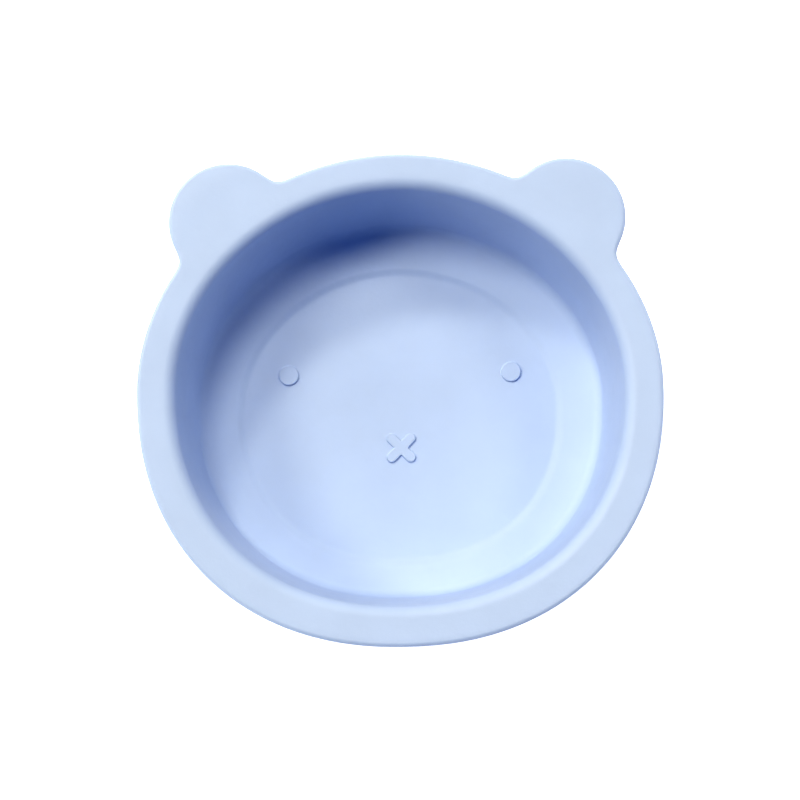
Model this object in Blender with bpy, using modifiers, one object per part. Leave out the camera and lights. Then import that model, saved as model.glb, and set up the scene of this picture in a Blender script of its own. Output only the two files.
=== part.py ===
"""Suction bowl for a small child, moulded in soft silicone.

The bowl is one moulding: a deep vessel with a flat rim, two ears flush with the rim, and a face
in low relief on the floor. A softer suction cup is bonded into an annular socket under the floor.
The cup is divided where it bends: the hub is fixed to the bowl, the web gives when the bowl is
pressed down, the lip lies on the table, and the release tab is the tongue that is lifted to let
the air back in.

Units are metres. +Z is up, +Y points from the chin to the ears, and the origin is on the table
under the middle of the rim.
"""

import math

import bmesh
import bpy
from mathutils import Matrix, Vector

# Plan of the rim.
HALF_WIDTH = 0.0788
HALF_LENGTH = 0.0743
WIDEST_LINE = 0.0025  # the rim is widest this far behind its middle
BACK_POWER = 1.95  # superellipse powers: the cheeks in front are fuller than the brow
FRONT_POWER = 2.2
PLAN_SETTLE = 0.0520  # half width inside which the plan keeps its proportions
EAR_RADIUS = 0.01785
EAR_X = 0.0511
EAR_Y = 0.0544
EAR_BLEND = 0.0062  # size of the hollow where an ear meets the brow

# Heights above the table.
RIM_TOP = 0.0490
RIM_THICKNESS = 0.0040
FLOOR_TOP = 0.0110
FLOOR_BOTTOM = 0.0080
FOOT_BOTTOM = 0.0052

# Inside of the vessel, as half widths and heights.
CAVITY_SHIFT = 0.0008  # the vessel sits this far behind the rim's middle
RIM_ROUND = 0.0038
WALL_TOP = 0.0672
WALL_FOOT = 0.0632
FLOOR_HALF_WIDTH = 0.0484
FLOOR_SHIFT = -0.0007  # the flat floor sits this far behind the rim's middle
STEP_HEIGHT = 0.0008
STEP_RUN = 0.0032
BAND_RISE = 0.0013  # from the floor's step out to the foot of the wall
COVE_RADIUS = 0.0036
COVE_LIFT = 0.94  # height of the cove's middle above the band, as a share of its radius
EDGE_CROSSING = math.radians(14.0)  # so that the edge crosses the rim's top instead of grazing it

# Outside of the vessel.
WALL_THICKNESS = 0.0027
UNDER_RIM_CHAMFER = 0.0028
BELLY_RADIUS = 0.0140
BELLY_INSET = 0.96  # belly's middle from the foot of the wall, as a share of its radius
FORM_SHORT = 0.0016  # the vessel's form ends this far below the rim's top
EDGE_ROUND = 0.0012

# Face on the floor.
RELIEF = 0.0008
RELIEF_ROOT = 0.0008  # how deep the raised features start inside the floor
BAR_OFFSET = 0.00002  # the mouth's bars differ this much in height, so that they join cleanly
EYE_RADIUS = 0.0031
EYE_X = 0.0348
EYE_Y = 0.0127
MOUTH_Y = -0.0107
MOUTH_LENGTH = 0.0115
MOUTH_WIDTH = 0.0031

# Suction cup.
GAP = 0.0003  # left between solids that touch
SOCKET_RADIUS = 0.0340
SPIGOT_WIDTH = 0.0024
SPIGOT_HEIGHT = 0.0022
SOCKET_WALL = 0.0034
FOOT_ROOT = 0.0006  # how far the foot reaches into the floor
HUB_RADIUS = 0.0387
HUB_THICKNESS = 0.0015
WEB_OUTER = 0.0446
WEB_DROP = 0.0026
WEB_THICKNESS = 0.0013
LIP_OUTER = 0.0495
LIP_INNER_HEIGHT = 0.0019
LIP_EDGE_HEIGHT = 0.0013

# Release tab.
TAB_LENGTH = 0.0125
TAB_WIDTH = 0.0150
TAB_BOTTOM = 0.0007  # clear of the table, so that a finger gets under it
TAB_TOP = 0.0021
TAB_END_ROUND = 0.82  # round end's radius, as a share of half the width
GRIP_COUNT = 3
GRIP_RADIUS = 0.0005
GRIP_PITCH = 0.0024
GRIP_END = 0.0022  # from the tab's tip to its first rib
GRIP_INSET = 0.0012  # rib's end to the tab's side

# Fineness of the solids.
TURN_STEPS = 72
ARC_STEPS = 5
STEP_PARTS = 3
OUTLINE_TURN = math.radians(9.0)
OUTLINE_RUN = 0.0062

CUTTER_RISE = 0.0040  # how far the cavity's cutter stands above the rim

PARTS = "suction_bowl"
CUTTERS = "cutters"
SILICONE_COLOR = (0.47, 0.59, 0.84, 1.0)
CUP_COLOR = (0.47, 0.59, 0.84, 1.0)


def clear_scene():
    for obj in list(bpy.data.objects):
        bpy.data.objects.remove(obj)


def make_collection(name):
    collection = bpy.data.collections.new(name)
    bpy.context.scene.collection.children.link(collection)
    return collection


def silicone(name, color, roughness):
    material = bpy.data.materials.new(name)
    material.use_nodes = True
    shader = material.node_tree.nodes["Principled BSDF"]
    shader.inputs["Base Color"].default_value = color
    shader.inputs["Roughness"].default_value = roughness
    shader.inputs["Metallic"].default_value = 0.0
    return material


def add_object(name, mesh, collection):
    obj = bpy.data.objects.new(name, mesh)
    collection.objects.link(obj)
    return obj


def settle(obj):
    """Replaces the object's mesh by its evaluated one, so that its modifiers are applied."""
    bpy.context.view_layer.update()
    graph = bpy.context.evaluated_depsgraph_get()
    mesh = bpy.data.meshes.new_from_object(obj.evaluated_get(graph))
    obj.modifiers.clear()
    obj.data = mesh
    return obj


def edit_mesh(obj, change):
    work = bmesh.new()
    work.from_mesh(obj.data)
    change(work)
    work.to_mesh(obj.data)
    work.free()


def face_out(obj):
    def change(work):
        bmesh.ops.remove_doubles(work, verts=work.verts, dist=1e-6)
        bmesh.ops.recalc_face_normals(work, faces=work.faces)

    edit_mesh(obj, change)


def arc(center, radius, start, end, steps=ARC_STEPS):
    """Points of an arc in a profile, from the start angle to the end angle, both included."""
    points = []
    for step in range(steps + 1):
        angle = start + (end - start) * step / steps
        points.append((center[0] + radius * math.cos(angle), center[1] + radius * math.sin(angle)))
    return points


def turned(name, profile, collection, ring=False):
    """Solid turned about +Z from (radius, height) points that run down its outer side."""
    mesh = bpy.data.meshes.new(name)
    edges = [(index, index + 1) for index in range(len(profile) - 1)]
    if ring:
        edges.append((len(profile) - 1, 0))
    mesh.from_pydata([(radius, 0.0, height) for radius, height in profile], edges, [])
    obj = add_object(name, mesh, collection)
    screw = obj.modifiers.new("turn", "SCREW")
    screw.steps = TURN_STEPS
    screw.render_steps = TURN_STEPS
    screw.use_merge_vertices = True
    screw.merge_threshold = 0.00001
    settle(obj)
    face_out(obj)
    return obj


def plan_radius(angle, half_width):
    """Distance to the plan of a given half width from the middle of its widest line, as a share."""
    ratio = 1.0 - (HALF_WIDTH - HALF_LENGTH) / max(half_width, PLAN_SETTLE)
    offset = WIDEST_LINE / HALF_WIDTH
    back = math.sin(angle) >= 0.0
    reach = ratio - offset if back else ratio + offset
    power = BACK_POWER if back else FRONT_POWER
    across = abs(math.cos(angle)) ** power
    along = (abs(math.sin(angle)) / reach) ** power
    return (across + along) ** (-1.0 / power)


def ring_middle(half_width):
    """How far behind the rim's middle a ring of the vessel sits."""
    band_in = FLOOR_HALF_WIDTH + STEP_RUN
    part = min(max((half_width - band_in) / (WALL_FOOT - band_in), 0.0), 1.0)
    return FLOOR_SHIFT + (CAVITY_SHIFT - FLOOR_SHIFT) * part


def shape_to_plan(obj):
    """Gives a turned solid the bowl's plan, and moves its rings to their own middles."""
    offset = WIDEST_LINE / HALF_WIDTH
    for vertex in obj.data.vertices:
        x, y, _ = vertex.co
        radius = math.hypot(x, y)
        angle = math.atan2(y, x)
        scale = plan_radius(angle, radius)
        vertex.co.x = x * scale
        vertex.co.y = y * scale + radius * offset + ring_middle(radius)


def boolean(obj, other, operation):
    modifier = obj.modifiers.new(operation.lower(), "BOOLEAN")
    modifier.operation = operation
    modifier.solver = "EXACT"
    modifier.object = other
    settle(obj)


def hide_cutter(obj):
    obj.hide_render = True
    obj.display_type = "WIRE"


def rim_distance(point):
    """About how far a point of the plan is outside the rim and its ears, negative inside."""
    away = point - Vector((0.0, WIDEST_LINE))
    outline = HALF_WIDTH * plan_radius(math.atan2(away.y, away.x), HALF_WIDTH)
    to_rim = away.length - outline
    ear = Vector((abs(point.x) - EAR_X, point.y - EAR_Y))
    to_ear = ear.length - EAR_RADIUS
    overlap = max(EAR_BLEND - abs(to_rim - to_ear), 0.0) / EAR_BLEND
    return min(to_rim, to_ear) - EAR_BLEND * overlap ** 3 / 6.0


def rim_point(angle):
    """The rim's outermost point in one direction from its middle."""
    direction = Vector((math.cos(angle), math.sin(angle)))
    inside = 0.5 * HALF_WIDTH
    outside = 2.0 * HALF_WIDTH
    for _ in range(40):
        middle = 0.5 * (inside + outside)
        if rim_distance(direction * middle) < 0.0:
            inside = middle
        else:
            outside = middle
    return direction * inside


def rim_outline():
    """Points round the rim, closer together where it turns more."""
    steps = 1440
    fine = [rim_point(2.0 * math.pi * step / steps) for step in range(steps + 1)]
    kept = [fine[0]]
    heading = fine[1] - fine[0]
    for step in range(1, steps):
        point = fine[step]
        ahead = fine[step + 1] - point
        turn = abs(heading.angle_signed(ahead))
        far = (point - kept[-1]).length > OUTLINE_RUN
        if turn > OUTLINE_TURN or far or step % (steps // 4) == 0:
            kept.append(point)
            heading = ahead
    return kept


def flat_solid(name, outlines, bottom, top, collection):
    """Solid with a flat outline, from one or more closed loops of plan points."""
    curve = bpy.data.curves.new(name, "CURVE")
    curve.dimensions = "2D"
    curve.fill_mode = "BOTH"
    curve.extrude = 0.5 * (top - bottom)
    for outline in outlines:
        spline = curve.splines.new("POLY")
        spline.points.add(len(outline) - 1)
        for point, place in zip(spline.points, outline):
            point.co = (place[0], place[1], 0.0, 1.0)
        spline.use_cyclic_u = True
    guide = bpy.data.objects.new(name + "_outline", curve)
    guide.location.z = 0.5 * (top + bottom)
    collection.objects.link(guide)
    bpy.context.view_layer.update()
    graph = bpy.context.evaluated_depsgraph_get()
    mesh = bpy.data.meshes.new_from_object(guide.evaluated_get(graph))
    mesh.transform(guide.matrix_world)
    bpy.data.objects.remove(guide)
    obj = add_object(name, mesh, collection)
    face_out(obj)
    return obj


def round_edges(obj, width, segments):
    bevel = obj.modifiers.new("round", "BEVEL")
    bevel.width = width
    bevel.segments = segments
    bevel.limit_method = "ANGLE"
    bevel.angle_limit = math.radians(50.0)
    settle(obj)


def capsule(length, width, angle, middle):
    """Outline of a bar with round ends."""
    radius = 0.5 * width
    reach = 0.5 * length - radius
    loop = arc((reach, 0.0), radius, -0.5 * math.pi, 0.5 * math.pi)
    loop += arc((-reach, 0.0), radius, 0.5 * math.pi, 1.5 * math.pi)
    turn = Matrix.Rotation(angle, 2)
    return [turn @ Vector(point) + middle for point in loop]


def make_vessel(collection):
    """Outside of the vessel: a filled form that the cavity is cut from."""
    top = RIM_TOP - FORM_SHORT
    rim_bottom = RIM_TOP - RIM_THICKNESS
    wall_top = WALL_TOP + WALL_THICKNESS
    wall_foot = WALL_FOOT + WALL_THICKNESS
    lean = math.atan2(wall_top - wall_foot, rim_bottom - FLOOR_BOTTOM)
    center = (wall_foot - BELLY_INSET * BELLY_RADIUS, FLOOR_BOTTOM + BELLY_RADIUS)
    profile = [
        (0.0, top),
        (wall_top + UNDER_RIM_CHAMFER, top),
        (wall_top + UNDER_RIM_CHAMFER, rim_bottom),
        (wall_top, rim_bottom - UNDER_RIM_CHAMFER),
    ]
    profile += arc(center, BELLY_RADIUS, -lean, -0.5 * math.pi, ARC_STEPS + 1)
    profile.append((0.0, FLOOR_BOTTOM))
    vessel = turned("vessel", profile, collection)
    shape_to_plan(vessel)
    return vessel


def make_cavity(collection):
    """The space inside the bowl, open above the rim."""
    lean = math.atan2(WALL_TOP - WALL_FOOT, RIM_TOP - FLOOR_TOP)
    round_center = (WALL_TOP + RIM_ROUND, RIM_TOP - RIM_ROUND)
    rounding = arc(round_center, RIM_ROUND, 0.5 * math.pi + EDGE_CROSSING, math.pi - lean)
    band_in = FLOOR_HALF_WIDTH + STEP_RUN
    band_height = FLOOR_TOP + STEP_HEIGHT
    slope = math.atan2(BAND_RISE, WALL_FOOT - band_in)
    cove_center = (WALL_FOOT - COVE_RADIUS, band_height + BAND_RISE + COVE_LIFT * COVE_RADIUS)
    cove = arc(cove_center, COVE_RADIUS, -lean, -0.5 * math.pi + slope)
    above = RIM_TOP + CUTTER_RISE
    run_out = (above - rounding[0][1]) / math.tan(EDGE_CROSSING)
    profile = [(0.0, above), (rounding[0][0] + run_out, above)]
    profile += rounding
    profile += cove
    for step in range(STEP_PARTS, -1, -1):
        part = step / STEP_PARTS
        rise = STEP_HEIGHT * part * part * (3.0 - 2.0 * part)
        profile.append((FLOOR_HALF_WIDTH + STEP_RUN * part, FLOOR_TOP + rise))
    profile.append((0.0, FLOOR_TOP))
    cavity = turned("cavity", profile, collection)
    shape_to_plan(cavity)
    hide_cutter(cavity)
    return cavity


def make_foot(collection):
    """Round foot with the annular socket that holds the suction cup."""
    groove = 0.5 * SPIGOT_WIDTH + GAP
    wall = groove + SOCKET_WALL
    root = FLOOR_BOTTOM + FOOT_ROOT
    groove_top = FOOT_BOTTOM + SPIGOT_HEIGHT
    profile = [
        (SOCKET_RADIUS - wall, root),
        (SOCKET_RADIUS + wall, root),
        (SOCKET_RADIUS + wall, FOOT_BOTTOM),
        (SOCKET_RADIUS + groove, FOOT_BOTTOM),
        (SOCKET_RADIUS + groove, groove_top),
        (SOCKET_RADIUS - groove, groove_top),
        (SOCKET_RADIUS - groove, FOOT_BOTTOM),
        (SOCKET_RADIUS - wall, FOOT_BOTTOM),
    ]
    return turned("foot", profile, collection, ring=True)


def make_eye(side, collection):
    work = bmesh.new()
    root = FLOOR_TOP - RELIEF_ROOT
    top = FLOOR_TOP + RELIEF
    bmesh.ops.create_cone(
        work,
        cap_ends=True,
        segments=24,
        radius1=EYE_RADIUS,
        radius2=EYE_RADIUS,
        depth=top - root,
        matrix=Matrix.Translation((side * EYE_X, EYE_Y, 0.5 * (top + root))),
    )
    mesh = bpy.data.meshes.new("eye")
    work.to_mesh(mesh)
    work.free()
    return add_object("eye", mesh, collection)


def make_mouth_bar(angle, rise, collection):
    """One bar of the crossed mouth, its top raised and its root lowered by rise."""
    outline = capsule(MOUTH_LENGTH, MOUTH_WIDTH, angle, Vector((0.0, MOUTH_Y)))
    root = FLOOR_TOP - RELIEF_ROOT - rise
    return flat_solid("mouth_bar", [outline], root, FLOOR_TOP + RELIEF + rise, collection)


def make_bowl(parts, helpers, material):
    bottom = RIM_TOP - RIM_THICKNESS
    bowl = flat_solid("bowl_body", [rim_outline()], bottom, RIM_TOP, parts)
    round_edges(bowl, EDGE_ROUND, 2)
    added = [make_vessel(helpers), make_foot(helpers)]
    for piece in added:
        boolean(bowl, piece, "UNION")
    boolean(bowl, make_cavity(helpers), "DIFFERENCE")
    relief = [make_eye(side, helpers) for side in (-1, 1)]
    relief.append(make_mouth_bar(0.25 * math.pi, 0.0, helpers))
    relief.append(make_mouth_bar(-0.25 * math.pi, BAR_OFFSET, helpers))
    for piece in relief:
        boolean(bowl, piece, "UNION")
    for piece in added + relief:
        bpy.data.objects.remove(piece)
    finish(bowl, material)
    return bowl


def make_hub(parts, material):
    """Middle of the suction cup, with the spigot that sits in the foot's socket."""
    top = FOOT_BOTTOM - GAP
    bottom = top - HUB_THICKNESS
    half = 0.5 * SPIGOT_WIDTH
    profile = [
        (0.0, top),
        (SOCKET_RADIUS - half, top),
        (SOCKET_RADIUS - half, top + SPIGOT_HEIGHT),
        (SOCKET_RADIUS + half, top + SPIGOT_HEIGHT),
        (SOCKET_RADIUS + half, top),
        (HUB_RADIUS, top),
        (HUB_RADIUS, bottom),
        (0.0, bottom),
    ]
    hub = turned("suction_hub", profile, parts)
    finish(hub, material)


def make_web(parts, material):
    """The cone that bends when the bowl is pressed down."""
    top = FOOT_BOTTOM - GAP
    inner = HUB_RADIUS + GAP
    profile = [
        (inner, top),
        (WEB_OUTER, top - WEB_DROP),
        (WEB_OUTER, top - WEB_DROP - WEB_THICKNESS),
        (inner, top - WEB_THICKNESS),
    ]
    web = turned("suction_web", profile, parts, ring=True)
    finish(web, material)


def make_lip(parts, material):
    """Ring that lies flat on the table and seals."""
    inner = WEB_OUTER + GAP
    profile = [
        (inner, LIP_INNER_HEIGHT),
        (LIP_OUTER, LIP_EDGE_HEIGHT),
        (LIP_OUTER, 0.0),
        (inner, 0.0),
    ]
    lip = turned("suction_lip", profile, parts, ring=True)
    finish(lip, material)


def make_tab(parts, helpers, material):
    """Tongue on the lip's front edge, turning about the top of its root, with ribs to grip."""
    root_y = -(LIP_OUTER + GAP)
    end_radius = 0.5 * TAB_WIDTH * TAB_END_ROUND
    end_y = root_y - TAB_LENGTH + end_radius
    outline = [(-0.5 * TAB_WIDTH, root_y), (0.5 * TAB_WIDTH, root_y)]
    end = arc((0.0, end_y), end_radius, 0.0, -math.pi, 2 * ARC_STEPS)
    tab = flat_solid("release_tab", [(outline + end)[::-1]], TAB_BOTTOM, TAB_TOP, parts)
    for index in range(GRIP_COUNT):
        y = root_y - TAB_LENGTH + GRIP_END + GRIP_PITCH * index
        reach = math.sqrt(end_radius ** 2 - min(y - end_y, 0.0) ** 2) - GRIP_INSET
        rib = make_grip_rib(y, reach, helpers)
        boolean(tab, rib, "UNION")
        bpy.data.objects.remove(rib)
    pivot = Vector((0.0, -LIP_OUTER, TAB_TOP))
    tab.data.transform(Matrix.Translation(-pivot))
    tab.location = pivot
    finish(tab, material)


def make_grip_rib(y, reach, collection):
    work = bmesh.new()
    lie_along_x = Matrix.Rotation(0.5 * math.pi, 4, "Y")
    bmesh.ops.create_cone(
        work,
        cap_ends=True,
        segments=10,
        radius1=GRIP_RADIUS,
        radius2=GRIP_RADIUS,
        depth=2.0 * reach,
        matrix=Matrix.Translation((0.0, y, TAB_TOP)) @ lie_along_x,
    )
    mesh = bpy.data.meshes.new("rib")
    work.to_mesh(mesh)
    work.free()
    return add_object("rib", mesh, collection)


def finish(obj, material):
    obj.data.materials.clear()
    obj.data.materials.append(material)
    obj.data.shade_smooth()
    obj.data.set_sharp_from_angle(angle=math.radians(35.0))


def main():
    clear_scene()
    parts = make_collection(PARTS)
    helpers = make_collection(CUTTERS)
    bowl_silicone = silicone("bowl_silicone", SILICONE_COLOR, 0.6)
    make_bowl(parts, helpers, bowl_silicone)
    for name, make in (("hub", make_hub), ("web", make_web), ("lip", make_lip)):
        make(parts, silicone(name + "_silicone", CUP_COLOR, 0.45))
    make_tab(parts, helpers, silicone("tab_silicone", CUP_COLOR, 0.45))


main()
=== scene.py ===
"""Suction bowl for a small child: the finished look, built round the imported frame.

Laid out as an add-on and run as a script. Each operator makes one piece in soft matte silicone:
the bowl with its eared rim and the face in relief on its floor, the suction cup bonded under it,
and the cup's release tab. Lengths are in metres, +Z is up and +Y points to the ears.
"""

import math

import bmesh
import bpy
from bpy.props import FloatProperty, FloatVectorProperty, IntProperty, PointerProperty
from bpy.types import Operator, Panel, PropertyGroup
from mathutils import Matrix, Vector


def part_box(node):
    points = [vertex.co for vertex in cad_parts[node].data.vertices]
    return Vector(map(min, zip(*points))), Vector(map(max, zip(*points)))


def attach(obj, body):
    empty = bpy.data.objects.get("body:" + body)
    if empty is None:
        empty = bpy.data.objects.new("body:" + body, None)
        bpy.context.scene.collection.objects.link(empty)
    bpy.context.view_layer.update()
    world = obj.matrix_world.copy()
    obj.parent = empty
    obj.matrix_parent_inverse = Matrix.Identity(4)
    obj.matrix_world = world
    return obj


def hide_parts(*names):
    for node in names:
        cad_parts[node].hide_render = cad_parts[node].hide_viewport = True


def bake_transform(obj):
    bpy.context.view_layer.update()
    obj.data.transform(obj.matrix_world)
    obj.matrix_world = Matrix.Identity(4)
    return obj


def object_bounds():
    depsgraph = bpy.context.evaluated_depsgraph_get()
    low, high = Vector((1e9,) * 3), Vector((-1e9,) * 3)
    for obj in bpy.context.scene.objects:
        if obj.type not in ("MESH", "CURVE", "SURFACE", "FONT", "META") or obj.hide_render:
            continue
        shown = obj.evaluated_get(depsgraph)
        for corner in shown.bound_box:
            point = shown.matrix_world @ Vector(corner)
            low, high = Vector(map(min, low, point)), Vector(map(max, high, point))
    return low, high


bl_info = {
    "name": "Suction Bowl",
    "version": (1, 0, 0),
    "blender": (4, 5, 0),
    "location": "View3D > Sidebar > Suction Bowl",
    "description": "Adds an eared silicone suction bowl, its suction cup and a plain studio stage",
    "category": "Add Mesh",
}

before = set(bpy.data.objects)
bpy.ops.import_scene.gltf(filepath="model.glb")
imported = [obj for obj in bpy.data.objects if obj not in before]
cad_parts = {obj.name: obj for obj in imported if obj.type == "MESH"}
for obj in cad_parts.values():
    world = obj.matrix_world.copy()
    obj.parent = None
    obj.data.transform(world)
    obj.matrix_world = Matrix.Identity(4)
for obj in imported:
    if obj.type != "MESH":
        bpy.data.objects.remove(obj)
CAD_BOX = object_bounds()
RIM_TOP = CAD_BOX[1].z
HALF_LENGTH = CAD_BOX[1].y
HALF_WIDTH = CAD_BOX[1].x
FOOT_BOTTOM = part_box("bowl_body")[0].z
CUP_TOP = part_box("suction_web")[1].z
LIP_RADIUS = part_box("suction_lip")[1].x
TAB_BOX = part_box("release_tab")


# Settings ---------------------------------------------------------------------------------------


def length(name, description, default):
    return FloatProperty(
        name=name, description=description, default=default, min=0.0, unit="LENGTH", precision=5
    )


def color(name, description, default):
    return FloatVectorProperty(
        name=name, description=description, default=default, size=3, subtype="COLOR", min=0.0, max=1.0
    )


def share(name, description, default):
    return FloatProperty(
        name=name, description=description, default=default, min=0.0, max=1.0, subtype="FACTOR"
    )


class RimSettings(PropertyGroup):
    half_width: length("Half Width", "Middle to the rim's outer edge, left and right", HALF_WIDTH)
    half_length: length("Half Length", "Middle to the rim's outer edge, front and back", HALF_LENGTH)
    widest_line: length("Widest Line", "How far behind its middle the rim is widest", 0.0025)
    back_power: FloatProperty(
        name="Brow Power", description="Superellipse power of the plan behind", default=1.95, min=1.0
    )
    front_power: FloatProperty(
        name="Cheek Power", description="Superellipse power of the plan in front", default=2.2, min=1.0
    )
    plan_settle: length(
        "Plan Settle", "Half width inside which the plan keeps its proportions", 0.0520
    )
    thickness: length("Thickness", "Thickness of the rim and the ears", 0.0040)
    edge_round: length("Edge Round", "Rounding of the rim's outer edges", 0.0012)
    ear_radius: length("Ear Radius", "Radius of each ear", 0.01785)
    ear_x: length("Ear Across", "Middle of each ear from the bowl's middle, sideways", 0.0511)
    ear_y: length("Ear Back", "Middle of each ear from the bowl's middle, towards the back", 0.0544)
    ear_blend: length("Ear Hollow", "Size of the hollow where an ear meets the rim", 0.0062)


class VesselSettings(PropertyGroup):
    shift: length("Shift", "How far behind the rim's middle the vessel sits", 0.0008)
    rim_round: length("Rim Round", "Rounding of the rim's inner edge", 0.0038)
    wall_top: length("Wall Top", "Half width inside, at the top of the wall", 0.0672)
    wall_foot: length("Wall Foot", "Half width inside, at the foot of the wall", 0.0632)
    wall_thickness: length("Wall", "Thickness of the wall", 0.0027)
    cove_radius: length("Cove", "Radius between the wall and the floor", 0.0036)
    belly_radius: length("Belly", "Radius outside, between the wall and the underside", 0.0140)
    floor_top: length("Floor Top", "Height of the floor", 0.0110)
    floor_bottom: length("Floor Bottom", "Height of the floor's underside", 0.0080)
    floor_half_width: length("Floor Half Width", "Half width of the flat floor", 0.0484)
    floor_shift: FloatProperty(
        name="Floor Shift", description="How far behind the rim's middle the flat floor sits",
        default=-0.0007, unit="LENGTH", precision=5,
    )
    step_height: length("Step", "How far the flat floor is sunk", 0.0008)
    step_run: length("Step Run", "Width of the floor's soft step", 0.0032)
    band_rise: length("Band Rise", "Rise from the step to the foot of the wall", 0.0013)


class FaceSettings(PropertyGroup):
    relief: length("Relief", "How far the face stands up from the floor", 0.0008)
    eye_radius: length("Eye Radius", "Radius of each eye", 0.0031)
    eye_x: length("Eye Across", "Middle of each eye from the middle line", 0.0348)
    eye_y: length("Eye Back", "Middle of the eyes from the bowl's middle, towards the back", 0.0127)
    mouth_y: FloatProperty(
        name="Mouth", description="Middle of the mouth", default=-0.0107, unit="LENGTH", precision=5
    )
    mouth_length: length("Mouth Length", "Length of each bar of the crossed mouth", 0.0115)
    mouth_width: length("Mouth Width", "Width of each bar of the crossed mouth", 0.0031)


class CupSettings(PropertyGroup):
    hub_thickness: length("Hub Thickness", "Thickness of the middle of the cup", 0.0015)
    lip_radius: length("Lip Radius", "Radius of the sealing lip", LIP_RADIUS)
    seal_inner: length("Seal Inner", "Inner radius of the band that seals on the table", 0.0449)


class TabSettings(PropertyGroup):
    width: length("Width", "Width of the tab at its root", TAB_BOX[1].x - TAB_BOX[0].x)
    end_radius: length("End Radius", "Radius of the tab's round end", 0.00615)
    thickness: length("Thickness", "Thickness of the tab without its ribs", 0.0014)
    edge_round: length("Edge Round", "Rounding of the tab's edges", 0.0005)
    rib_count: IntProperty(name="Ribs", description="Ribs on the tab", default=3, min=0, max=4)
    rib_width: length("Rib Width", "Width of each rib", 0.0010)
    rib_pitch: length("Rib Pitch", "Distance from one rib to the next", 0.0024)
    rib_first: length("First Rib", "Distance from the tab's tip to its first rib", 0.0022)


class SiliconeSettings(PropertyGroup):
    bowl_color: color("Bowl", "Colour of the bowl's silicone", (0.47, 0.59, 0.84))
    cup_color: color("Cup", "Colour of the cup's softer silicone", (0.47, 0.59, 0.84))
    grain: length("Grain", "Size of the moulded surface's grain", 0.0004)
    roughness: share("Roughness", "Roughness of the matte surface", 0.58)


class StageSettings(PropertyGroup):
    tilt: FloatProperty(
        name="Tilt", description="Camera's tilt forward from straight above",
        default=math.radians(8.0), subtype="ANGLE",
    )
    roll: FloatProperty(
        name="Roll", description="Camera's turn about its own line of sight",
        default=math.radians(-1.0), subtype="ANGLE",
    )
    target_x: FloatProperty(
        name="Target Across", description="Point that the camera looks at, sideways",
        default=-0.0001, unit="LENGTH", precision=5,
    )
    target_y: FloatProperty(
        name="Target Back", description="Point that the camera looks at, towards the back",
        default=-0.0009, unit="LENGTH", precision=5,
    )
    distance: length("Distance", "Camera to the rim", 0.80)
    view_width: length("View Width", "Width of the picture at the rim", 0.2388)
    light_strength: FloatProperty(
        name="Light", description="Strength of all the lights together", default=1.12, min=0.0
    )
    light_color: color("Light Color", "Colour of the lights", (1.0, 0.88, 0.63))
    sky_color: color("Sky Color", "Colour of the soft light from all round", (0.10, 0.34, 1.0))
    sky_strength: FloatProperty(
        name="Sky", description="Strength of the soft light from all round", default=0.25, min=0.0
    )
    floor_color: color("Floor", "Colour of the floor", (0.5, 0.5, 0.5))
    floor_glow: FloatProperty(
        name="Floor Glow", description="Light that the floor gives off by itself", default=0.9, min=0.0
    )
    contrast: FloatProperty(
        name="Contrast", description="Power applied to the picture's tones", default=1.42, min=0.1
    )


# Plan of the bowl -------------------------------------------------------------------------------

COLUMNS = 600
OUTLINE_SAMPLES = 1800
EVEN_SPACING = 0.5  # how far the rim's columns are spread by run along the edge, and not by angle
BAND_INNER = 0.0730  # half width at which the vessel's plan hands over to the rim's
EDGE_NEAR = 0.04  # the rim's edge lies between these distances from the middle
EDGE_FAR = 0.12
HALVINGS = 30  # steps of the search for an edge


def plan_radius(rim, angle, half_width):
    """Distance to the plan of a given half width from the middle of its widest line, as a share."""
    ratio = 1.0 - (rim.half_width - rim.half_length) / max(half_width, rim.plan_settle)
    offset = rim.widest_line / rim.half_width
    back = math.sin(angle) >= 0.0
    reach = ratio - offset if back else ratio + offset
    power = rim.back_power if back else rim.front_power
    across = abs(math.cos(angle)) ** power
    along = (abs(math.sin(angle)) / reach) ** power
    return (across + along) ** (-1.0 / power)


def ring_middle(vessel, size):
    """How far behind the rim's middle a ring of the vessel sits."""
    band_in = vessel.floor_half_width + vessel.step_run
    part = min(max((size - band_in) / (vessel.wall_foot - band_in), 0.0), 1.0)
    return vessel.floor_shift + (vessel.shift - vessel.floor_shift) * part


def vessel_point(rim, vessel, size, angle):
    """Point of the vessel's plan whose half width is size."""
    radius = size * plan_radius(rim, angle, size)
    back = size * rim.widest_line / rim.half_width + ring_middle(vessel, size)
    return Vector((radius * math.cos(angle), radius * math.sin(angle) + back))


def smooth(part):
    """Eases a share from 0 to 1, level at both ends."""
    return part * part * (3.0 - 2.0 * part)


def soft_min(first, second, reach):
    """Smaller of two distances, rounded off where they are closer than reach."""
    overlap = max(reach - abs(first - second), 0.0) / reach
    return min(first, second) - reach * overlap ** 3 / 6.0


def rim_distance(rim, point):
    """About how far a point of the plan is outside the rim and its ears, negative inside."""
    away = point - Vector((0.0, rim.widest_line))
    angle = math.atan2(away.y, away.x)
    to_rim = away.length - rim.half_width * plan_radius(rim, angle, rim.half_width)
    to_ear = Vector((abs(point.x) - rim.ear_x, point.y - rim.ear_y)).length - rim.ear_radius
    return soft_min(to_rim, to_ear, rim.ear_blend)


def crossing(distance, middle, outward, inside, outside):
    """Where distance crosses zero on the way outward from a middle point."""
    for _ in range(HALVINGS):
        between = 0.5 * (inside + outside)
        if distance(middle + outward * between) < 0.0:
            inside = between
        else:
            outside = between
    return middle + outward * inside


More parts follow.
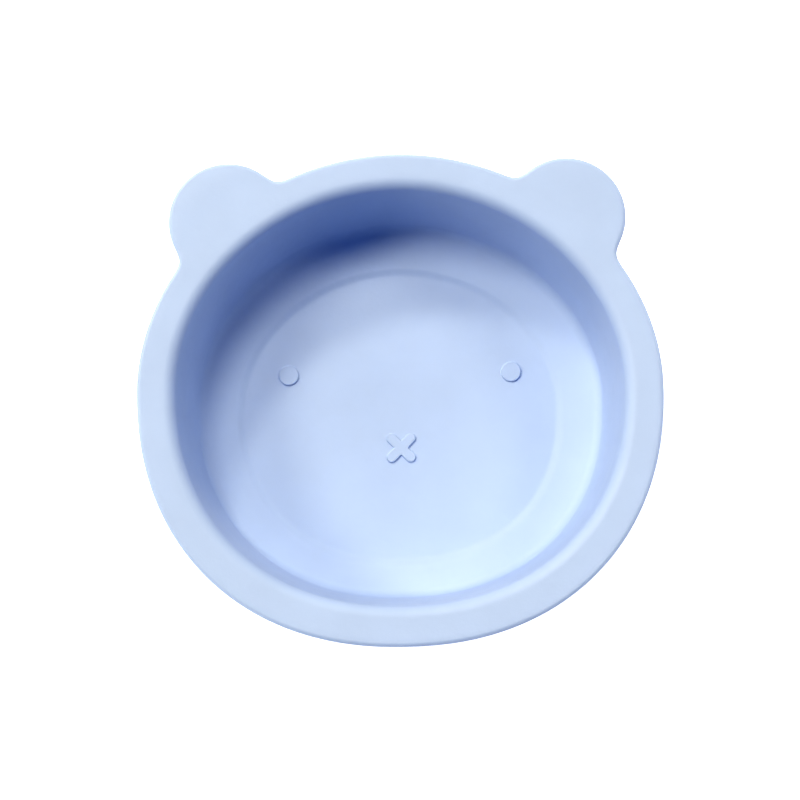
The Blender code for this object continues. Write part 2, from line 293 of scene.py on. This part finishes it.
def edge_point(rim, vessel, angle):
    """The rim's edge straight out from the vessel's point at one angle of its plan."""
    middle = Vector((0.0, vessel.shift))
    outward = (vessel_point(rim, vessel, BAND_INNER, angle) - middle).normalized()
    return crossing(
        lambda point: rim_distance(rim, point), middle, outward, EDGE_NEAR, EDGE_FAR
    )


def rim_columns(rim, vessel):
    """Angle, edge point and outward direction of each column of the mesh.

    The columns are radial, and closer together where the edge runs far out, round the ears.
    """
    turn = 2.0 * math.pi / OUTLINE_SAMPLES
    samples = [edge_point(rim, vessel, turn * index) for index in range(OUTLINE_SAMPLES)]
    runs = [0.0]
    for before, after in zip(samples, samples[1:] + samples[:1]):
        runs.append(runs[-1] + (after - before).length)
    places = [
        EVEN_SPACING * run / runs[-1] + (1.0 - EVEN_SPACING) * index / OUTLINE_SAMPLES
        for index, run in enumerate(runs)
    ]
    angles = []
    index = 0
    for column in range(COLUMNS):
        place = column / COLUMNS
        while places[index + 1] <= place:
            index += 1
        part = (place - places[index]) / (places[index + 1] - places[index])
        angles.append(turn * (index + part))
    points = [edge_point(rim, vessel, angle) for angle in angles]
    columns = []
    for index, (angle, point) in enumerate(zip(angles, points)):
        along = points[(index + 1) % COLUMNS] - points[index - 1]
        columns.append((angle, point, Vector((along.y, -along.x)).normalized()))
    return columns


# Mesh helpers -----------------------------------------------------------------------------------


def arc(center, radius, start, end, steps):
    """Points of an arc in a profile, from the start angle to the end angle, both included."""
    points = []
    for step in range(steps + 1):
        angle = start + (end - start) * step / steps
        points.append((center[0] + radius * math.cos(angle), center[1] + radius * math.sin(angle)))
    return points


def run_between(first, second, steps):
    """Points between two profile points, both left out."""
    return [
        (first[0] + (second[0] - first[0]) * step / steps,
         first[1] + (second[1] - first[1]) * step / steps)
        for step in range(1, steps)
    ]


def spin_profile(work, profile, steps):
    """Turns a chain of (radius, height) points about +Z."""
    points = [work.verts.new((radius, 0.0, height)) for radius, height in profile]
    lines = [work.edges.new(pair) for pair in zip(points, points[1:])]
    bmesh.ops.spin(
        work, geom=points + lines, cent=(0.0, 0.0, 0.0), axis=(0.0, 0.0, 1.0),
        angle=2.0 * math.pi, steps=steps, use_merge=True, use_duplicate=False,
    )
    bmesh.ops.remove_doubles(work, verts=work.verts, dist=1e-6)


def add_piece(name, work, materials):
    mesh = bpy.data.meshes.new(name)
    bmesh.ops.recalc_face_normals(work, faces=work.faces)
    work.to_mesh(mesh)
    work.free()
    for material in materials:
        mesh.materials.append(material)
    mesh.shade_smooth()
    piece = bpy.data.objects.new(name, mesh)
    bpy.context.scene.collection.objects.link(piece)
    return piece


# Materials --------------------------------------------------------------------------------------

# A colour mix node's sockets, by place: their names repeat for each type of data.
MIX_SHARE = 0
MIX_FIRST = 6
MIX_SECOND = 7
MIX_RESULT = 2

CLOUD_SCALE = 45.0
CLOUD_DARK = 0.975  # shares of the base colour between which it clouds
CLOUD_LIGHT = 1.02
PATCH_SCALE = 220.0
PATCH_DEPTH = 0.05  # how far the roughness strays to each side
BROAD_GRAIN = 0.12  # frequency of the broad grain, as a share of the fine grain's
BROAD_DEPTH = 3.0
BOWL_GRAIN_DEPTH = 0.00002
CUP_GRAIN_DEPTH = 0.00001
CUP_ROUGHNESS = 0.48
TAB_ROUGHNESS = 0.5


def noise(nodes, links, place, scale, detail, roughness=0.5):
    node = nodes.new("ShaderNodeTexNoise")
    node.inputs["Scale"].default_value = scale
    node.inputs["Detail"].default_value = detail
    node.inputs["Roughness"].default_value = roughness
    links.new(place, node.inputs["Vector"])
    return node.outputs["Fac"]


def spread(nodes, links, value, low, high):
    """Maps a noise's middle range to low and high."""
    node = nodes.new("ShaderNodeMapRange")
    node.inputs["From Min"].default_value = 0.3
    node.inputs["From Max"].default_value = 0.7
    node.inputs["To Min"].default_value = low
    node.inputs["To Max"].default_value = high
    links.new(value, node.inputs["Value"])
    return node.outputs["Result"]


def silicone(name, base, grain, roughness, grain_depth):
    """Soft silicone: faint clouding in the colour, a fine moulded grain, and a slight bloom."""
    material = bpy.data.materials.new(name)
    material.use_nodes = True
    nodes = material.node_tree.nodes
    links = material.node_tree.links
    shader = nodes["Principled BSDF"]
    place = nodes.new("ShaderNodeTexCoord").outputs["Object"]

    clouding = nodes.new("ShaderNodeMix")
    clouding.data_type = "RGBA"
    dark = [channel * CLOUD_DARK for channel in base]
    light = [min(channel * CLOUD_LIGHT, 1.0) for channel in base]
    clouding.inputs[MIX_FIRST].default_value = (*dark, 1.0)
    clouding.inputs[MIX_SECOND].default_value = (*light, 1.0)
    cloud = spread(nodes, links, noise(nodes, links, place, CLOUD_SCALE, 4.0), 0.0, 1.0)
    links.new(cloud, clouding.inputs[MIX_SHARE])
    links.new(clouding.outputs[MIX_RESULT], shader.inputs["Base Color"])

    patches = noise(nodes, links, place, PATCH_SCALE, 5.0, 0.6)
    polish = spread(nodes, links, patches, roughness - PATCH_DEPTH, roughness + PATCH_DEPTH)
    links.new(polish, shader.inputs["Roughness"])

    fine = nodes.new("ShaderNodeBump")
    fine.inputs["Strength"].default_value = 1.0
    fine.inputs["Distance"].default_value = grain_depth
    links.new(noise(nodes, links, place, 1.0 / grain, 3.0, 0.6), fine.inputs["Height"])
    broad = nodes.new("ShaderNodeBump")
    broad.inputs["Strength"].default_value = 1.0
    broad.inputs["Distance"].default_value = BROAD_DEPTH * grain_depth
    links.new(noise(nodes, links, place, BROAD_GRAIN / grain, 2.0), broad.inputs["Height"])
    links.new(fine.outputs["Normal"], broad.inputs["Normal"])
    links.new(broad.outputs["Normal"], shader.inputs["Normal"])

    shader.inputs["IOR"].default_value = 1.45
    shader.inputs["Specular IOR Level"].default_value = 0.5
    shader.inputs["Sheen Weight"].default_value = 0.12
    shader.inputs["Sheen Roughness"].default_value = 0.5
    return material


# Pieces -----------------------------------------------------------------------------------------

FLOOR_HEM = 0.0012  # width of the turned ring between the filled floor and the step
STEP_PARTS = 8
COVE_LIFT = 0.94  # height of the cove's middle above its band, as a share of its radius
BELLY_INSET = 0.96  # belly's middle in from the outer wall, as a share of its radius
UNDER_GAP = 0.0001  # keeps the curve under the rim off the ring where the plans hand over


def vessel_profile(rim, vessel):
    """The bowl's section, from the edge of the flat floor over the rim to the foot underneath."""
    top = RIM_TOP
    lean = math.atan2(vessel.wall_top - vessel.wall_foot, top - vessel.floor_top)
    band_in = vessel.floor_half_width + vessel.step_run
    band_height = vessel.floor_top + vessel.step_height
    slope = math.atan2(vessel.band_rise, vessel.wall_foot - band_in)

    floor_edge = vessel.floor_half_width - FLOOR_HEM
    profile = [(floor_edge, vessel.floor_top), (floor_edge + 0.5 * FLOOR_HEM, vessel.floor_top)]
    for step in range(STEP_PARTS + 1):
        part = step / STEP_PARTS
        profile.append((
            vessel.floor_half_width + vessel.step_run * part,
            vessel.floor_top + vessel.step_height * smooth(part),
        ))
    cove_center = (
        vessel.wall_foot - vessel.cove_radius,
        band_height + vessel.band_rise + COVE_LIFT * vessel.cove_radius,
    )
    cove = arc(cove_center, vessel.cove_radius, -0.5 * math.pi + slope, -lean, 12)
    profile += run_between(profile[-1], cove[0], 4)
    profile += cove
    round_center = (vessel.wall_top + vessel.rim_round, top - vessel.rim_round)
    rounding = arc(round_center, vessel.rim_round, math.pi - lean, 0.5 * math.pi, 10)
    profile += run_between(cove[-1], rounding[0], 6)
    profile += rounding
    profile += run_between(rounding[-1], (BAND_INNER, top), 3)

    edge = rim.half_width - rim.edge_round
    bottom = top - rim.thickness
    profile.append((BAND_INNER, top))
    profile += run_between((BAND_INNER, top), (edge, top), 4)
    profile += arc((edge, top - rim.edge_round), rim.edge_round, 0.5 * math.pi, 0.0, 6)
    profile += arc((edge, bottom + rim.edge_round), rim.edge_round, 0.0, -0.5 * math.pi, 6)
    profile += run_between((edge, bottom), (BAND_INNER, bottom), 3)
    profile.append((BAND_INNER, bottom))

    outer_top = vessel.wall_top + vessel.wall_thickness
    outer_foot = vessel.wall_foot + vessel.wall_thickness
    under = BAND_INNER - outer_top - UNDER_GAP
    profile += arc((outer_top + under, bottom - under), under, 0.5 * math.pi, math.pi, 7)
    belly_center = (
        outer_foot - BELLY_INSET * vessel.belly_radius,
        vessel.floor_bottom + vessel.belly_radius,
    )
    belly = arc(belly_center, vessel.belly_radius, -lean, -0.5 * math.pi, 14)
    profile += run_between(profile[-1], belly[0], 5)
    profile += belly
    return profile


FOOT_OUTER = 0.0389
FOOT_INNER = 0.0291
SOCKET_OUTER = 0.0355
SOCKET_INNER = 0.0325
SPIGOT_HEIGHT = 0.0022  # also the depth of the socket that holds the spigot
FOOT_FILLET = 0.0010
FOOT_EDGE_ROUND = 0.0004
UNDERSIDE_RINGS = (0.0200, 0.0100, 0.0)  # radii of the rings inside the foot
PLAN_FROM = 0.0430  # half width where the round foot's plan starts to turn into the bowl's
PLAN_FULL = 0.0530
PLAN_MIDDLE = 0.0460  # one more ring between the two
FLOOR_SKIN = 0.001  # what lies further below the floor's top than this is the underside


def foot_profile(vessel):
    """The round foot with its socket, from the underside to the middle."""
    bottom = FOOT_BOTTOM
    root = vessel.floor_bottom
    socket_top = bottom + SPIGOT_HEIGHT
    fillet = FOOT_FILLET
    edge = FOOT_EDGE_ROUND
    profile = [(PLAN_MIDDLE, root), (PLAN_FROM, root)]
    profile += arc((FOOT_OUTER + fillet, root - fillet), fillet, 0.5 * math.pi, math.pi, 4)
    profile += arc((FOOT_OUTER - edge, bottom + edge), edge, 0.0, -0.5 * math.pi, 3)
    profile += [(SOCKET_OUTER, bottom), (SOCKET_OUTER, socket_top)]
    profile += [(SOCKET_INNER, socket_top), (SOCKET_INNER, bottom)]
    profile += arc((FOOT_INNER + edge, bottom + edge), edge, -0.5 * math.pi, -math.pi, 3)
    profile += arc((FOOT_INNER - fillet, root - fillet), fillet, 0.0, 0.5 * math.pi, 4)
    profile += [(radius, root) for radius in UNDERSIDE_RINGS]
    return profile


def shape_bowl(work, rim, vessel):
    """Moves the turned bowl's vertices out to its plan, its ears and its rounded edge."""
    columns = rim_columns(rim, vessel)
    edge = rim.half_width - rim.edge_round
    for vert in work.verts:
        ring = math.hypot(vert.co.x, vert.co.y)
        if ring < 1e-6:
            continue
        turn = math.atan2(vert.co.y, vert.co.x) / (2.0 * math.pi)
        angle, outline, outward = columns[round(turn * COLUMNS) % COLUMNS]
        if ring <= BAND_INNER + 1e-6:
            place = vessel_point(rim, vessel, ring, angle)
            if vert.co.z < vessel.floor_top - FLOOR_SKIN:
                part = min(max((ring - PLAN_FROM) / (PLAN_FULL - PLAN_FROM), 0.0), 1.0)
                circle = ring * Vector((math.cos(angle), math.sin(angle)))
                place = circle.lerp(place, smooth(part))
        elif ring < edge:
            start = vessel_point(rim, vessel, BAND_INNER, angle)
            part = (ring - BAND_INNER) / (edge - BAND_INNER)
            place = start.lerp(outline - outward * rim.edge_round, part)
        else:
            place = outline - outward * (rim.half_width - ring)
        vert.co.x = place.x
        vert.co.y = place.y


MOUTH_HOLLOW = 0.0006  # size of the hollows where the mouth's bars cross
EYE_SIDES = 64
MOUTH_SIDES = 160
FIGURE_REACH = 0.02  # no figure on the floor reaches further than this from its middle


def mouth_distance(face, point):
    """Distance outside the crossed mouth, its middle at the origin."""
    radius = 0.5 * face.mouth_width
    reach = 0.5 * face.mouth_length - radius
    distances = []
    for sign in (-1.0, 1.0):
        along = (point.x + sign * point.y) * math.sqrt(0.5)
        across = (point.y - sign * point.x) * math.sqrt(0.5)
        past = max(abs(along) - reach, 0.0)
        distances.append(math.hypot(past, across) - radius)
    return soft_min(distances[0], distances[1], MOUTH_HOLLOW)


def eye_distance(face, point):
    return point.length - face.eye_radius


RELIEF_RINGS = (
    # outward offset, and height as a share of the relief
    (0.00070, 0.00),
    (0.00035, 0.00),
    (0.00012, 0.00),
    (0.00004, 0.06),
    (0.00000, 0.16),
    (-0.00003, 0.80),
    (-0.00012, 0.95),
    (-0.00028, 1.00),
    (-0.00060, 1.00),
)


def add_relief(work, distance, middle, base, height, count):
    """Raises one flat-topped figure on the floor. Returns the edges of its outermost ring."""
    made = bmesh.ops.create_circle(work, cap_ends=False, segments=count, radius=0.001)
    ring = made["verts"]
    lines = list({line for vert in ring for line in vert.link_edges})
    outermost = lines
    for step, (offset, rise) in enumerate(RELIEF_RINGS):
        if step:
            grown = bmesh.ops.extrude_edge_only(work, edges=lines)
            ring = [item for item in grown["geom"] if isinstance(item, bmesh.types.BMVert)]
            lines = [
                item for item in grown["geom"]
                if isinstance(item, bmesh.types.BMEdge)
                and item.verts[0] in ring and item.verts[1] in ring
            ]
        for vert in ring:
            outward = (vert.co.xy if step == 0 else vert.co.xy - middle).normalized()
            place = crossing(
                lambda point: distance(point) - offset, Vector((0.0, 0.0)), outward,
                0.0, FIGURE_REACH,
            )
            vert.co.xy = place + middle
            vert.co.z = base + height * rise
    bmesh.ops.contextual_create(work, geom=lines)
    return outermost


class SUCTIONBOWL_OT_bowl_body(Operator):
    """Adds the bowl: vessel, eared rim, foot, and the face in relief on the floor"""

    bl_idname = "suction_bowl.add_bowl_body"
    bl_label = "Bowl Body"

    def execute(self, context):
        scene = context.scene
        rim = scene.suction_bowl_rim
        vessel = scene.suction_bowl_vessel
        face = scene.suction_bowl_face
        silicones = scene.suction_bowl_silicone
        work = bmesh.new()
        profile = vessel_profile(rim, vessel) + foot_profile(vessel)
        spin_profile(work, profile, COLUMNS)
        shape_bowl(work, rim, vessel)
        border = [line for line in work.edges if line.is_boundary]
        for side in (-1.0, 1.0):
            middle = Vector((side * face.eye_x, face.eye_y))
            border += add_relief(
                work, lambda point: eye_distance(face, point), middle,
                vessel.floor_top, face.relief, EYE_SIDES,
            )
        border += add_relief(
            work, lambda point: mouth_distance(face, point), Vector((0.0, face.mouth_y)),
            vessel.floor_top, face.relief, MOUTH_SIDES,
        )
        bmesh.ops.triangle_fill(work, edges=border, use_beauty=True, normal=(0.0, 0.0, 1.0))
        material = silicone(
            "bowl_silicone", silicones.bowl_color, silicones.grain, silicones.roughness,
            BOWL_GRAIN_DEPTH,
        )
        piece = add_piece("bowl_skin", work, [material])
        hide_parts("bowl_body")
        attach(piece, "bowl")
        return {"FINISHED"}


CUP_COLUMNS = 240
SPIGOT_RADIUS = 0.0340  # middle of the ring that sits in the foot's socket
SPIGOT_HALF_WIDTH = 0.0012
SPIGOT_CHAMFER = 0.0003
LIP_EDGE_ROUND = 0.00035
WEB_DROPS = (
    # radius, and how far below the top of the cup its slope lies there
    (0.0380, 0.0),
    (0.0389, 0.00012),
    (0.0398, 0.0005),
    (0.0408, 0.0011),
    (0.0420, 0.0018),
    (0.0432, 0.0024),
    (0.0444, 0.0029),
    (0.0456, 0.00325),
    (0.0468, 0.0036),
    (0.0480, 0.0039),
    (0.0489, 0.0042),
)
HOLLOW_RISES = (
    # radius, and height of the hollow underneath there
    (0.0443, 0.00008),
    (0.0437, 0.00035),
    (0.0430, 0.0008),
    (0.0422, 0.0014),
    (0.0413, 0.0020),
    (0.0404, 0.0026),
    (0.0395, 0.0030),
)
HOLLOW_CORNER = (0.0386, 0.0001)  # radius, and depth below the hub's underside there
TOP_RING = 0.0200  # these rings only divide flat stretches
SEAL_RINGS = (0.0480, 0.0465)
HUB_RINGS = (0.0370, 0.0250, 0.0120, 0.0)


def cup_profile(cup):
    """The cup's section: spigot, hub, web and lip, from the middle of its top to its underside."""
    top = CUP_TOP
    underside = top - cup.hub_thickness
    inner = SPIGOT_RADIUS - SPIGOT_HALF_WIDTH
    outer = SPIGOT_RADIUS + SPIGOT_HALF_WIDTH
    crown = top + SPIGOT_HEIGHT
    shoulder = crown - SPIGOT_CHAMFER
    profile = [(0.0, top), (TOP_RING, top), (inner, top)]
    profile += [(inner, shoulder), (inner + SPIGOT_CHAMFER, crown)]
    profile += [(outer - SPIGOT_CHAMFER, crown), (outer, shoulder), (outer, top)]
    profile += [(radius, top - drop) for radius, drop in WEB_DROPS]
    lip_round = (cup.lip_radius - LIP_EDGE_ROUND, LIP_EDGE_ROUND)
    profile += arc(lip_round, LIP_EDGE_ROUND, 0.45 * math.pi, -0.5 * math.pi, 5)
    profile += [(radius, 0.0) for radius in (*SEAL_RINGS, cup.seal_inner)]
    profile += HOLLOW_RISES
    profile.append((HOLLOW_CORNER[0], underside - HOLLOW_CORNER[1]))
    profile += [(radius, underside) for radius in HUB_RINGS]
    return profile


class SUCTIONBOWL_OT_suction_cup(Operator):
    """Adds the suction cup, which gives between its hub and its lip"""

    bl_idname = "suction_bowl.add_suction_cup"
    bl_label = "Suction Cup"

    def execute(self, context):
        scene = context.scene
        cup = scene.suction_bowl_cup
        silicones = scene.suction_bowl_silicone
        work = bmesh.new()
        spin_profile(work, cup_profile(cup), CUP_COLUMNS)
        matte = silicone(
            "cup_silicone", silicones.cup_color, silicones.grain, CUP_ROUGHNESS, CUP_GRAIN_DEPTH
        )
        piece = add_piece("suction_cup_skin", work, [matte])
        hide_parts("suction_hub", "suction_web", "suction_lip")
        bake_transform(piece)
        return {"FINISHED"}


TAB_OVERLAP = 0.0040  # how far the tab's root reaches into the slope of the cup
TAB_FLARE = 0.0008  # how much wider each side of the root is than the tab
TAB_NECK = 0.0010  # from the root to where the sides run straight
TAB_ROOT_THICKNESS = 0.0003  # what is left of the tab inside the cup
TAB_SHARP_ANGLE = math.radians(40.0)
RIB_INSET = 0.0012  # from a rib's end to the tab's side
BEND_START = Vector((0.0, -LIP_RADIUS + 0.0004, TAB_BOX[1].z))
BEND_END = Vector((0.0, -LIP_RADIUS - 0.0028, TAB_BOX[1].z))
BEND_CUTS = 9  # rows cut across the tab over the stretch where it bends off the cup


def tab_outline(tab):
    """Plan of the tab: flared where it grows out of the cup, straight sides, and a round end."""
    root = TAB_BOX[1].y
    middle = TAB_BOX[0].y + tab.end_radius
    half = 0.5 * tab.width
    neck = root - TAB_NECK
    corner = math.atan2(neck - middle, half)
    turn = corner - math.acos(min(tab.end_radius / math.dist((half, neck), (0.0, middle)), 1.0))
    right = [(half + TAB_FLARE, root + TAB_OVERLAP), (half + 0.25 * TAB_FLARE, root), (half, neck)]
    right += arc((0.0, middle), tab.end_radius, turn, -0.5 * math.pi, 12)
    left = [(-across, along) for across, along in reversed(right[:-1])]
    return right + left


def add_rib(work, tab, along, reach):
    """Adds one rounded rib, half sunk in the tab's top."""
    turn = Matrix.Rotation(0.5 * math.pi, 4, "Y")
    made = bmesh.ops.create_uvsphere(
        work, u_segments=16, v_segments=12, radius=0.5 * tab.rib_width, matrix=turn
    )
    for vert in made["verts"]:
        if abs(vert.co.x) > 1e-6:
            vert.co.x += math.copysign(reach - 0.5 * tab.rib_width, vert.co.x)
    bmesh.ops.translate(
        work, verts=made["verts"], vec=(0.0, along, TAB_BOX[0].z + tab.thickness)
    )


class SUCTIONBOWL_OT_release_tab(Operator):
    """Adds the ribbed tab that peels the cup off the table"""

    bl_idname = "suction_bowl.add_release_tab"
    bl_label = "Release Tab"

    def execute(self, context):
        scene = context.scene
        tab = scene.suction_bowl_tab
        silicones = scene.suction_bowl_silicone
        work = bmesh.new()
        corners = [work.verts.new((*place, TAB_BOX[0].z)) for place in tab_outline(tab)]
        base = bmesh.ops.contextual_create(work, geom=corners)["faces"]
        grown = bmesh.ops.extrude_face_region(work, geom=base)
        upper = [item for item in grown["geom"] if isinstance(item, bmesh.types.BMVert)]
        bmesh.ops.translate(work, verts=upper, vec=(0.0, 0.0, tab.thickness))
        for vert in upper:
            if vert.co.y > TAB_BOX[1].y + 0.5 * TAB_OVERLAP:
                vert.co.z = TAB_BOX[0].z + TAB_ROOT_THICKNESS
        bmesh.ops.recalc_face_normals(work, faces=work.faces)
        brims = [
            edge for edge in work.edges
            if abs(edge.verts[0].co.z - edge.verts[1].co.z) < 1e-6
            and max(edge.verts[0].co.y, edge.verts[1].co.y) < TAB_BOX[1].y + 1e-6
        ]
        bmesh.ops.bevel(
            work, geom=brims, offset=tab.edge_round, offset_type="OFFSET",
            affect="EDGES", segments=4, profile=0.5, material=-1,
        )
        tip = TAB_BOX[0].y
        for index in range(tab.rib_count):
            along = tip + tab.rib_first + tab.rib_pitch * index
            chord = max(tab.end_radius - (along - tip), 0.0)
            reach = math.sqrt(tab.end_radius ** 2 - chord ** 2) - RIB_INSET
            add_rib(work, tab, along, reach)
        for step in range(BEND_CUTS):
            bmesh.ops.bisect_plane(
                work, geom=work.verts[:] + work.edges[:] + work.faces[:], dist=1e-7,
                plane_co=BEND_START.lerp(BEND_END, step / (BEND_CUTS - 1)), plane_no=(0.0, 1.0, 0.0),
            )
        matte = silicone(
            "tab_silicone", silicones.cup_color, silicones.grain, TAB_ROUGHNESS, CUP_GRAIN_DEPTH
        )
        piece = add_piece("release_tab_skin", work, [matte])
        piece.data.set_sharp_from_angle(angle=TAB_SHARP_ANGLE)
        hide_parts("release_tab")
        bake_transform(piece)
        return {"FINISHED"}


# Stage ------------------------------------------------------------------------------------------


HORIZON_TOP = 0.06  # rise of a direction, as a share, up to which the surroundings are white
SKY_BOTTOM = 0.30  # rise from which they are sky
FLOOR_HALF_SIZE = 20.0
FLOOR_ROUGHNESS = 0.9
SENSOR_WIDTH = 36.0  # millimetres, as the camera counts them
LIGHTS = (
    # name; height above the table, direction from +X round to +Y and size, in degrees; strength
    ("overhead", 67.0, 122.0, 18.0, 1.75),
    ("window", 45.0, 116.0, 8.0, 0.92),
    ("left", 46.0, 178.0, 14.0, 1.05),
    ("right", 45.0, 25.0, 14.0, 0.65),
    ("low_left", 22.0, 180.0, 16.0, 0.40),
    ("low_right", 22.0, 35.0, 16.0, 0.35),
)


def add_floor(scene, stage):
    work = bmesh.new()
    bmesh.ops.create_grid(work, x_segments=1, y_segments=1, size=FLOOR_HALF_SIZE)
    mesh = bpy.data.meshes.new("floor")
    work.to_mesh(mesh)
    work.free()
    floor = bpy.data.objects.new("floor", mesh)
    floor.location.z = CAD_BOX[0].z
    scene.collection.objects.link(floor)
    paint = bpy.data.materials.new("floor_paint")
    paint.use_nodes = True
    shader = paint.node_tree.nodes["Principled BSDF"]
    shader.inputs["Base Color"].default_value = (*stage.floor_color, 1.0)
    shader.inputs["Roughness"].default_value = FLOOR_ROUGHNESS
    shader.inputs["Emission Color"].default_value = (1.0, 1.0, 1.0, 1.0)
    shader.inputs["Emission Strength"].default_value = stage.floor_glow
    mesh.materials.append(paint)


def add_lights(scene, stage):
    world = bpy.data.worlds.new("soft_sky")
    world.use_nodes = True
    nodes = world.node_tree.nodes
    links = world.node_tree.links
    aim = nodes.new("ShaderNodeSeparateXYZ")
    links.new(nodes.new("ShaderNodeTexCoord").outputs["Generated"], aim.inputs["Vector"])
    fade = nodes.new("ShaderNodeMapRange")
    fade.interpolation_type = "SMOOTHSTEP"
    fade.inputs["From Min"].default_value = HORIZON_TOP
    fade.inputs["From Max"].default_value = SKY_BOTTOM
    links.new(aim.outputs["Z"], fade.inputs["Value"])
    sky = nodes.new("ShaderNodeMix")
    sky.data_type = "RGBA"
    shade = [stage.sky_strength * tone for tone in stage.sky_color]
    sky.inputs[MIX_FIRST].default_value = (1.0, 1.0, 1.0, 1.0)
    sky.inputs[MIX_SECOND].default_value = (*shade, 1.0)
    links.new(fade.outputs["Result"], sky.inputs[MIX_SHARE])
    links.new(sky.outputs[MIX_RESULT], nodes["Background"].inputs["Color"])
    scene.world = world
    for name, height, direction, size, strength in LIGHTS:
        light = bpy.data.lights.new(name, "SUN")
        light.energy = strength * stage.light_strength
        light.color = stage.light_color
        light.angle = math.radians(size)
        lamp = bpy.data.objects.new(name, light)
        tilt = math.radians(90.0 - height)
        lamp.rotation_euler = (0.0, tilt, math.radians(direction))
        scene.collection.objects.link(lamp)


def add_camera(scene, stage):
    target = Vector((stage.target_x, stage.target_y, RIM_TOP))
    back = Vector((0.0, -math.sin(stage.tilt), math.cos(stage.tilt)))
    lens = bpy.data.cameras.new("camera")
    lens.sensor_width = SENSOR_WIDTH
    lens.lens = SENSOR_WIDTH * stage.distance / stage.view_width
    camera = bpy.data.objects.new("camera", lens)
    turn = Matrix.Rotation(stage.tilt, 4, "X") @ Matrix.Rotation(stage.roll, 4, "Z")
    camera.matrix_world = Matrix.Translation(target + back * stage.distance) @ turn
    scene.collection.objects.link(camera)
    scene.camera = camera


class SUCTIONBOWL_OT_stage(Operator):
    """Adds the pale floor, the soft lights and the camera"""

    bl_idname = "suction_bowl.add_stage"
    bl_label = "Studio Stage"

    def execute(self, context):
        scene = context.scene
        stage = scene.suction_bowl_stage
        add_floor(scene, stage)
        add_lights(scene, stage)
        add_camera(scene, stage)
        scene.view_settings.view_transform = "Standard"
        scene.view_settings.gamma = 1.0 / stage.contrast
        return {"FINISHED"}


# Add-on -----------------------------------------------------------------------------------------

SETTINGS = {
    "suction_bowl_rim": RimSettings,
    "suction_bowl_vessel": VesselSettings,
    "suction_bowl_face": FaceSettings,
    "suction_bowl_cup": CupSettings,
    "suction_bowl_tab": TabSettings,
    "suction_bowl_silicone": SiliconeSettings,
    "suction_bowl_stage": StageSettings,
}
OPERATORS = (
    SUCTIONBOWL_OT_bowl_body,
    SUCTIONBOWL_OT_suction_cup,
    SUCTIONBOWL_OT_release_tab,
    SUCTIONBOWL_OT_stage,
)


class SUCTIONBOWL_PT_sidebar(Panel):
    """Lists the bowl's settings and its pieces"""

    bl_idname = "SUCTIONBOWL_PT_sidebar"
    bl_label = "Suction Bowl"
    bl_space_type = "VIEW_3D"
    bl_region_type = "UI"
    bl_category = "Suction Bowl"

    def draw(self, context):
        layout = self.layout
        for operator in OPERATORS:
            layout.operator(operator.bl_idname)
        for name, group in SETTINGS.items():
            box = layout.box()
            box.label(text=name.rsplit("_", 1)[-1].title())
            for setting in group.__annotations__:
                box.prop(getattr(context.scene, name), setting)


def register():
    for name, group in SETTINGS.items():
        bpy.utils.register_class(group)
        setattr(bpy.types.Scene, name, PointerProperty(type=group))
    for operator in OPERATORS:
        bpy.utils.register_class(operator)
    bpy.utils.register_class(SUCTIONBOWL_PT_sidebar)


def unregister():
    bpy.utils.unregister_class(SUCTIONBOWL_PT_sidebar)
    for operator in reversed(OPERATORS):
        bpy.utils.unregister_class(operator)
    for name, group in reversed(SETTINGS.items()):
        delattr(bpy.types.Scene, name)
        bpy.utils.unregister_class(group)


def main():
    register()
    bpy.ops.suction_bowl.add_bowl_body()
    bpy.ops.suction_bowl.add_suction_cup()
    bpy.ops.suction_bowl.add_release_tab()
    bpy.ops.suction_bowl.add_stage()


if __name__ == "__main__":
    main()
